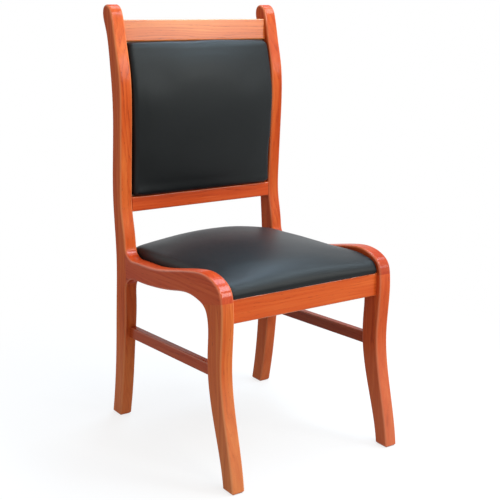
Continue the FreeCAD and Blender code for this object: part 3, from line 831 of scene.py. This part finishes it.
def depth_before(board, points):
    """How far each point lies before the back board, along Y."""
    low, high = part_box("back_board")
    inset = BACK_BOARD_INSET
    depth = np.empty(len(points))
    for index, (x, y, z) in enumerate(points):
        over_x = min(max(x, low.x + inset), high.x - inset)
        over_z = min(max(z, low.z + inset), high.z - inset)
        depth[index] = first_hit(board, (over_x, -1, over_z), (0, 1, 0)).y - y
    return depth


def fuller_back(points, depth):
    """Shoulders that stand out to the posts' front edges, and edges that bulge over both rails."""
    low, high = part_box("back_cover")
    x, y, z = points.T
    side = np.abs(x) / high.x
    over_foot, under_head = z - low.z, high.z - z
    share = over_foot / (high.z - low.z)
    head_loss = BACK_HEAD_LOSS * smooth_step(share, *BACK_HEAD_SHARES)
    foot_loss = BACK_FOOT_LOSS * (1 - smooth_step(share, *BACK_FOOT_SHARES))
    forward = BACK_SHOULDER * side ** 2 * (1 - head_loss - foot_loss)
    forward = forward + BACK_FOOT * (1 - smooth_step(over_foot, 0, BACK_FOOT_HEIGHT))
    forward = forward + BACK_HEAD * (1 - smooth_step(under_head, 0, BACK_HEAD_HEIGHT))
    lip = (1 - smooth_step(over_foot, 0, BACK_HANG_HEIGHT)) * smooth_step(depth, *BACK_HANG_DEPTHS)
    top = (1 - smooth_step(under_head, 0, BACK_RISE_HEIGHT)) * smooth_step(depth, *BACK_RISE_DEPTHS)
    z = z - BACK_HANG * lip + top_wave(x) * (1 - side ** 8) * top
    front = smooth_step(depth, *BACK_FRONT_DEPTHS)
    x, z = round_corners(x, z, high, front)
    return np.column_stack([x, y - forward * front, z])


def top_wave(x):
    """How far the back pad's top edge rises over the crest rail, across the chair."""
    hump = np.exp(-((x - BACK_HUMP_PLACE) / BACK_HUMP_WIDTH) ** 2)
    return BACK_RISE + BACK_HUMP * hump + BACK_RIPPLE * np.sin(x / BACK_RIPPLE_LENGTH)


def round_corners(x, z, high, front):
    """Pulls the front of the two upper corners in to a round."""
    across, upwards = np.abs(x) - (high.x - BACK_CORNER), z - (high.z - BACK_CORNER)
    past = np.hypot(across, upwards)
    corner = (across > 0) & (upwards > 0) & (past > BACK_CORNER)
    pull = np.where(corner, (1 - BACK_CORNER / np.maximum(past, MM)) * front, 0)
    return x - np.sign(x) * across * pull, z - upwards * pull


def clear_of_rails(points):
    """Keeps what bulges over the two rails in front of them."""
    x, y, z = points.T.copy()
    lower_low, lower_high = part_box("lower_back_rail")
    behind_lower = y > lower_low.y - PAD_GAP
    z = np.where(behind_lower, np.maximum(z, lower_high.z + PAD_GAP), z)
    crest_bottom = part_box("crest_rail")[0].z
    crest_front = first_hit(tree_of("crest_rail"), (0, -1, crest_bottom + CREST_LIP), (0, 1, 0)).y
    behind_crest = y > crest_front - CREST_ROOM
    z = np.where(behind_crest, np.minimum(z, crest_bottom - PAD_GAP), z)
    return np.column_stack([x, y, z])


# Rear panel and dust cloth
def closed_sheet(name, near, far, finish):
    """A closed piece between two grids of points with the same rows and columns."""
    rows, columns = near.shape[:2]
    count = rows * columns

    def at(row, column, side):
        return side * count + row * columns + column

    faces = []
    for row in range(rows - 1):
        for column in range(columns - 1):
            ring = [(row, column), (row, column + 1), (row + 1, column + 1), (row + 1, column)]
            faces.append([at(*place, 0) for place in ring])
            faces.append([at(*place, 1) for place in reversed(ring)])
    border = [(0, column) for column in range(columns)]
    border += [(row, columns - 1) for row in range(1, rows)]
    border += [(rows - 1, column) for column in range(columns - 2, -1, -1)]
    border += [(row, 0) for row in range(rows - 2, 0, -1)]
    for one, other in zip(border, border[1:] + border[:1]):
        faces.append([at(*one, 0), at(*one, 1), at(*other, 1), at(*other, 0)])
    points = np.concatenate([near.reshape(-1, 3), far.reshape(-1, 3)])
    piece = new_piece(name, points, faces, finish)
    form = bmesh.new()
    form.from_mesh(piece.data)
    bmesh.ops.recalc_face_normals(form, faces=form.faces)
    form.to_mesh(piece.data)
    form.free()
    smooth_shaded(piece)
    return piece


def crowded_at_ends(low, high, count):
    """Numbers from low to high that lie closer together near both ends."""
    return low + (high - low) * (1 - np.cos(np.linspace(0, math.pi, count))) / 2


def rear_panel(finish):
    """The panel that closes the back: leather over a thin pad, rolled round its edges."""
    low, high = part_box("back_rear_panel")
    tree = tree_of("back_rear_panel")
    across = crowded_at_ends(low.x, high.x, PANEL_POINTS)
    upwards = crowded_at_ends(low.z, high.z, PANEL_POINTS)
    near = np.empty((PANEL_POINTS, PANEL_POINTS, 3))
    far = near.copy()
    for row, z in enumerate(upwards):
        cast_z = min(max(z, low.z + PANEL_INSET), high.z - PANEL_INSET)
        front = first_hit(tree, (0, -1, cast_z), (0, 1, 0)).y
        rear = first_hit(tree, (0, 1, cast_z), (0, -1, 0)).y
        for column, x in enumerate(across):
            edge = min(x - low.x, high.x - x, z - low.z, high.z - z)
            roll = math.sqrt(1 - (1 - min(edge / PANEL_ROLL, 1)) ** 2)
            u, v = 2 * x / (high.x - low.x), (2 * z - low.z - high.z) / (high.z - low.z)
            padding = PANEL_PADDING * (1 - u ** 4) * (1 - v ** 4)
            near[row, column] = (x, front + PAD_GAP, z)
            far[row, column] = (x, front + PANEL_EDGE + (rear - front - PANEL_EDGE) * roll + padding, z)
    return closed_sheet("rear_panel", near, far, finish)


def cloth_rows(half_length):
    """Places of the dust cloth's rows, with one at each end of its cut corners."""
    straight = half_length - DUST_CUT
    rows = np.concatenate([
        np.linspace(-half_length, -straight, DUST_CORNER_ROWS),
        np.linspace(-straight, straight, DUST_MIDDLE_ROWS),
        np.linspace(straight, half_length, DUST_CORNER_ROWS),
    ])
    return np.unique(rows.round(7))


def cloth_pucker(turn, edge):
    """Small waves round the cloth's border, which fade towards its middle and at its very edge."""
    wave = math.cos(DUST_PUCKERS * turn + DUST_PUCKER_DRIFT * math.sin(DUST_PUCKER_DRIFTS * turn))
    return DUST_PUCKER * wave * math.exp(-edge / DUST_PUCKER_FADE) * min(1, edge / DUST_PUCKER_START)


def dust_cloth(finish):
    """Thin cloth stretched under the seat, a little slack, with small puckers at its staples."""
    low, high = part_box("seat_dust_cover")
    middle = (low + high) / 2
    half = (high - low) / 2
    along = cloth_rows(half.y)
    below = np.empty((len(along), DUST_COLUMNS, 3))
    for row, y in enumerate(along):
        wide = half.x - max(0, abs(y) - (half.y - DUST_CUT))
        for column, share in enumerate(np.linspace(-1, 1, DUST_COLUMNS)):
            x = share * wide
            to_cut = (half.x + half.y - DUST_CUT - abs(x) - abs(y)) / math.sqrt(2)
            edge = min(half.x - abs(x), half.y - abs(y), to_cut)
            slack = DUST_SAG * (1 - math.exp(-edge / DUST_SAG_FADE))
            z = low.z - slack + cloth_pucker(math.atan2(y, x), edge)
            below[row, column] = (middle.x + x, middle.y + y, z)
    above = below + np.array([0, 0, DUST_THICKNESS])
    return closed_sheet("dust_cloth", below, above, finish)


# What repeats, by node trees
def new_tree(name, inputs):
    """A tree that takes a mesh and named inputs and gives a mesh, with each input's socket in the tree."""
    tree = bpy.data.node_groups.new(name, "GeometryNodeTree")
    tree.interface.new_socket("Mesh", in_out="OUTPUT", socket_type="NodeSocketGeometry")
    tree.interface.new_socket("Mesh", in_out="INPUT", socket_type="NodeSocketGeometry")
    for label, kind in inputs.items():
        tree.interface.new_socket(label, in_out="INPUT", socket_type=f"NodeSocket{kind}")
    start = Shade(tree)
    given = {label: start.node("NodeGroupInput", output=label) for label in ["Mesh", *inputs]}
    return tree, start, given


def turned_by_chance(start, rotation, least, most, seed):
    """A rotation with a chance turn about its own Z added."""
    chance = start.node("FunctionNodeRandomValue", {"data_type": "FLOAT"}, {
        2: least, 3: most, "Seed": seed,
    }, output=1)
    spin = start.node("CombineXYZ", {}, {"Z": chance})
    turn = start.node("FunctionNodeEulerToRotation", {}, {"Euler": spin})
    return start.node("FunctionNodeRotateRotation", {"rotation_space": "LOCAL"}, {
        "Rotation": rotation, "Rotate By": turn,
    })


def end_tree(start, points, shape, rotation, material):
    """Puts a shape at each point, makes the instances real, gives them their finish and hands them out."""
    form = start.node("GeometryNodeObjectInfo", {}, {"Object": shape}, output="Geometry")
    instances = start.node("GeometryNodeInstanceOnPoints", {}, {
        "Points": points, "Instance": form, "Rotation": rotation,
    })
    real = start.node("GeometryNodeRealizeInstances", {}, {"Geometry": instances})
    done = start.node("GeometryNodeSetMaterial", {}, {"Geometry": real, "Material": material})
    start.node("NodeGroupOutput", {}, {"Mesh": done})


def grow(piece, tree, values):
    """Runs a tree on a piece with these inputs and keeps the plain mesh."""
    modifier = piece.modifiers.new(tree.name, "NODES")
    modifier.node_group = tree
    for item in tree.interface.items_tree:
        if item.in_out == "INPUT" and item.name in values:
            modifier[item.identifier] = values[item.name]
    settle(piece)


def staple_shape(finish):
    """One staple: a flat crown with its two legs bent up, long way along X."""
    half, leg, wire = STAPLE_LENGTH / 2, STAPLE_LEG, STAPLE_WIRE
    path = [(-half, leg), (-half, wire), (-half + wire, 0), (half - wire, 0), (half, wire), (half, leg)]
    middle = Vector((0, leg))
    points = []
    for x, z in path:
        outer = Vector((x, z))
        inner = outer + (middle - outer).normalized() * wire * STAPLE_FLATNESS
        for y in (-wire, wire):
            points += [(x, y, z), (inner.x, y, inner.y)]
    faces = [(0, 1, 3, 2)]
    for step in range(len(path) - 1):
        a, b = 4 * step, 4 * step + 4
        faces += [(a, b, b + 1, a + 1), (a + 2, a + 3, b + 3, b + 2)]
        faces += [(a, a + 2, b + 2, b), (a + 1, b + 1, b + 3, a + 3)]
    last = 4 * (len(path) - 1)
    faces.append((last, last + 2, last + 3, last + 1))
    return new_piece("staple_shape", points, faces, finish)


def staple_tree():
    """Staples at even steps along a closed path, each turned a little out of line."""
    tree, start, given = new_tree("staples_along_path", {
        "Staple": "Object", "Spacing": "Float", "Turn": "Float", "Seed": "Int", "Finish": "Material",
    })
    curve = start.node("GeometryNodeMeshToCurve", {}, {"Mesh": given["Mesh"]})
    places = start.node("GeometryNodeResampleCurve", {"mode": "LENGTH"}, {
        "Curve": curve, "Length": given["Spacing"],
    })
    tangent = start.node("GeometryNodeInputTangent")
    along = start.node("FunctionNodeAlignRotationToVector", {"axis": "X"}, {"Vector": tangent})
    turned = turned_by_chance(start, along, -1 * given["Turn"], given["Turn"], given["Seed"])
    end_tree(start, places, given["Staple"], turned, given["Finish"])
    return tree


def staples(finish):
    """The staples that hold the dust cloth to the seat board."""
    low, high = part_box("seat_dust_cover")
    middle = (low + high) / 2
    half = (high - low) / 2 - Vector((STAPLE_INSET, STAPLE_INSET, 0))
    cut = DUST_CUT - STAPLE_INSET * (2 - math.sqrt(2))
    straight_x, straight_y = half.x - cut, half.y - cut
    left = [(straight_x, -half.y), (half.x, -straight_y), (half.x, straight_y), (straight_x, half.y)]
    outline = left + [(-x, y) for x, y in reversed(left)]
    points = [(middle.x + x, middle.y + y, low.z - STAPLE_DROP) for x, y in outline]
    edges = [(step, (step + 1) % len(points)) for step in range(len(points))]
    piece = guide_piece("dust_cloth_staples", points, edges)
    shape = staple_shape(finish)
    grow(piece, staple_tree(), {
        "Staple": shape, "Spacing": STAPLE_SPACING, "Turn": STAPLE_TURN,
        "Seed": STAPLE_SEED, "Finish": finish,
    })
    remove_piece(shape)
    return piece


def islands(node):
    """The points of each separate solid in a node."""
    form = merged_points(node)
    left = set(form.verts)
    found = []
    while left:
        reached = [left.pop()]
        for point in reached:
            for edge in point.link_edges:
                other = edge.other_vert(point)
                if other in left:
                    left.remove(other)
                    reached.append(other)
        found.append(np.array([point.co for point in reached]))
    form.free()
    return found


def screw_place(points):
    """Where a screw's head ends, which way it faces, and the screw's length."""
    low, high = points.min(axis=0), points.max(axis=0)
    axis = int(np.argmax(high - low))
    middle = (low + high) / 2
    off_axis = np.delete(points - middle, axis, axis=1)
    widest = points[np.argmax(np.linalg.norm(off_axis, axis=1)), axis]
    way = np.zeros(3)
    way[axis] = 1 if widest > middle[axis] else -1
    top = middle.copy()
    top[axis] = high[axis] if way[axis] > 0 else low[axis]
    return top, way, high[axis] - low[axis]


def turned_shape(name, profile, sides, finish):
    """A closed round shape from (radius, height) points, from its top to its tip."""
    points = [(0, 0, profile[0][1])]
    for radius, height in profile[1:-1]:
        for side in range(sides):
            turn = 2 * math.pi * side / sides
            points.append((radius * math.cos(turn), radius * math.sin(turn), height))
    points.append((0, 0, profile[-1][1]))
    faces = []
    rings = len(profile) - 2
    for side in range(sides):
        following = (side + 1) % sides
        faces.append((0, 1 + side, 1 + following))
        for ring in range(rings - 1):
            a, b = 1 + ring * sides, 1 + (ring + 1) * sides
            faces.append((a + side, b + side, b + following, a + following))
        last = 1 + (rings - 1) * sides
        faces.append((last + side, len(points) - 1, last + following))
    return new_piece(name, points, faces, finish)


def screw_shape(length, finish):
    """A pan-head wood screw with a cross recess: its head ends at Z = 0 and its tip points down."""
    head, height, shank = SCREW_HEAD / 2, SCREW_HEAD_HEIGHT, SCREW_SHANK / 2
    tip_radius, tip_height = SCREW_TIP
    profile = [(0, 0)]
    for step in range(1, SCREW_DOME_STEPS + 1):
        turn = math.pi / 2 * step / SCREW_DOME_STEPS
        radius = head * math.sin(turn) ** SCREW_DOME_POWER
        profile.append((radius, -SCREW_DOME * height * (1 - math.cos(turn))))
    profile += [(head, -SCREW_RIM * height), (head - SCREW_BEVEL, -height), (shank, -height)]
    profile += [(shank, SCREW_POINT - length), (tip_radius, tip_height - length), (0, -length)]
    piece = turned_shape("screw_shape", profile, SCREW_SIDES, finish)
    for x, y in ((RECESS_WIDTH, RECESS_LENGTH), (RECESS_LENGTH, RECESS_WIDTH)):
        hollow_out(piece, Vector((-x, -y, -RECESS_DEPTH)), Vector((x, y, RECESS_OVER)))
    return piece


def screw_tree():
    """One screw at each point, facing the way that the point says, and turned by chance."""
    tree, start, given = new_tree("screws_at_points", {
        "Screw": "Object", "Seed": "Int", "Finish": "Material",
    })
    facing = start.node("GeometryNodeInputNamedAttribute", {"data_type": "FLOAT_VECTOR"}, {
        "Name": "facing",
    })
    upright = start.node("FunctionNodeAlignRotationToVector", {"axis": "Z"}, {"Vector": facing})
    turned = turned_by_chance(start, upright, 0.0, math.pi / 2, given["Seed"])
    end_tree(start, given["Mesh"], given["Screw"], turned, given["Finish"])
    return tree


def screw_set(node, seed, finish):
    """A node's screws with real heads, each in its own place."""
    places = [screw_place(points) for points in islands(node)]
    piece = guide_piece(f"{node}_set", [top for top, _, _ in places], [])
    facing = piece.data.attributes.new("facing", "FLOAT_VECTOR", "POINT")
    facing.data.foreach_set("vector", np.array([way for _, way, _ in places], np.float32).ravel())
    shape = screw_shape(places[0][2], finish)
    grow(piece, screw_tree(), {"Screw": shape, "Seed": seed, "Finish": finish})
    remove_piece(shape)
    return piece


# Stage
def softbox(name, place, aim, size, radiance, colour):
    """A soft lamp whose face is this many times as bright as white paper."""
    data = bpy.data.lights.new(name, "AREA")
    data.shape = "RECTANGLE"
    data.size, data.size_y = size
    data.energy = radiance * math.pi * size[0] * size[1]
    data.color = colour
    lamp = bpy.data.objects.new(name, data)
    lamp.location = place
    lamp.rotation_euler = (Vector(aim) - Vector(place)).to_track_quat("-Z", "Y").to_euler()
    lamp.visible_camera = False
    scene.collection.objects.link(lamp)


def seen_directly(start):
    """1 on what the camera sees, also in a mirror or through glass."""
    seen = start.node("LightPath", output="Is Camera Ray")
    for ray in ("Is Glossy Ray", "Is Transmission Ray"):
        seen = start.math("MAXIMUM", seen, start.node("LightPath", output=ray))
    return seen


def studio_world():
    """White to look at, and a dimmer even light on the chair."""
    world = bpy.data.worlds.new("studio")
    world.use_nodes = True
    world.node_tree.nodes.clear()
    start = Shade(world.node_tree)
    strength = AMBIENT + (1 - AMBIENT) * seen_directly(start)
    light = start.node("Background", {}, {"Color": (1, 1, 1, 1), "Strength": strength})
    start.node("OutputWorld", {}, {"Surface": light})
    scene.world = world


def studio_floor():
    """A pale floor that keeps the chair's shadow and runs out into white."""
    finish, start = new_finish("studio_floor")
    away = object_place(start).length()
    seen = seen_directly(start)
    white = FLOOR_WHITE + (1 - FLOOR_WHITE) * away.step(*FLOOR_FADE)
    shade = start.node("BsdfDiffuse", {}, {"Color": seen.between(FLOOR_BOUNCE, FLOOR_SEEN)})
    glow = start.node("Emission", {}, {"Color": (1, 1, 1, 1), "Strength": 1.0})
    mixed = start.node("MixShader", {}, {0: seen * white, 1: shade, 2: glow})
    from_below = start.node("NewGeometry", output="Backfacing")
    clear = start.node("BsdfTransparent")
    one_sided = start.node("MixShader", {}, {0: from_below, 1: mixed, 2: clear})
    start.node("OutputMaterial", {}, {"Surface": one_sided})
    signs = [(-1, -1), (1, -1), (1, 1), (-1, 1)]
    corners = [(x * FLOOR_HALF, y * FLOOR_HALF, -FLOOR_DROP) for x, y in signs]
    new_piece("studio_floor", corners, [(0, 1, 2, 3)], finish)


def photo_camera():
    data = bpy.data.cameras.new("photo_camera")
    data.lens = LENS_MM
    camera = bpy.data.objects.new("photo_camera", data)
    camera.location = EYE
    camera.rotation_euler = (AIM - EYE).to_track_quat("-Z", "Y").to_euler()
    scene.collection.objects.link(camera)
    scene.camera = camera


def set_stage():
    scene.view_settings.view_transform = "Standard"
    photo_camera()
    studio_world()
    studio_floor()
    for name, values in SOFTBOXES.items():
        softbox(name, *values)


# Finishes and pieces on the chair
def paint(node, finish):
    """Gives a carried-over node its finish."""
    for material_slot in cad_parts[node].material_slots:
        material_slot.material = finish


def paint_frame():
    """Lacquered wood outside, bare beech and plywood inside."""
    for node, look in WOODEN.items():
        paint(node, lacquered_wood(node, *look))
    for corner in ("front_right", "front_left", "rear_left", "rear_right"):
        paint(f"{corner}_corner_block", bare_beech(f"{corner}_block", "X"))
    for joint in ("crest_rail", "lower_back_rail", "front_rail", "rear_rail"):
        paint(f"{joint}_dowels", bare_beech(f"{joint}_dowels", "X"))
    for joint in ("side_rail_post", "stretcher"):
        paint(f"{joint}_dowels", bare_beech(f"{joint}_dowels", "Y"))
    paint("side_rail_leg_dowels", bare_beech("side_rail_leg_dowels", "Z"))
    paint("seat_board", plywood("seat_board", "Z"))
    paint("back_board", plywood("back_board", "Y"))


def add_leather(leather):
    """The two pads and the rear panel."""
    seat = seat_pad(leather)
    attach(seat, "root")
    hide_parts("seat_cover", "seat_foam")

    back = back_pad(leather)
    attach(back, "root")
    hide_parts("back_cover", "back_foam")

    panel = rear_panel(leather)
    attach(panel, "root")
    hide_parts("back_rear_panel")


def add_dust_cloth(steel):
    """The cloth under the seat and its staples."""
    cloth_staples = staples(steel)
    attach(cloth_staples, "root")
    cloth = dust_cloth(dust_cloth_finish())
    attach(cloth, "root")
    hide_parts("seat_dust_cover")


def add_screws(steel):
    """The screws that show under the seat."""
    for seed, node in enumerate(("seat_screws", "corner_block_screws")):
        screws = screw_set(node, seed, steel)
        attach(screws, "root")
        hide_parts(node)


def main():
    set_stage()
    paint_frame()
    steel = zinc_plated_steel()
    paint("back_screws", steel)
    add_leather(black_leather())
    add_dust_cloth(steel)
    add_screws(steel)


main()
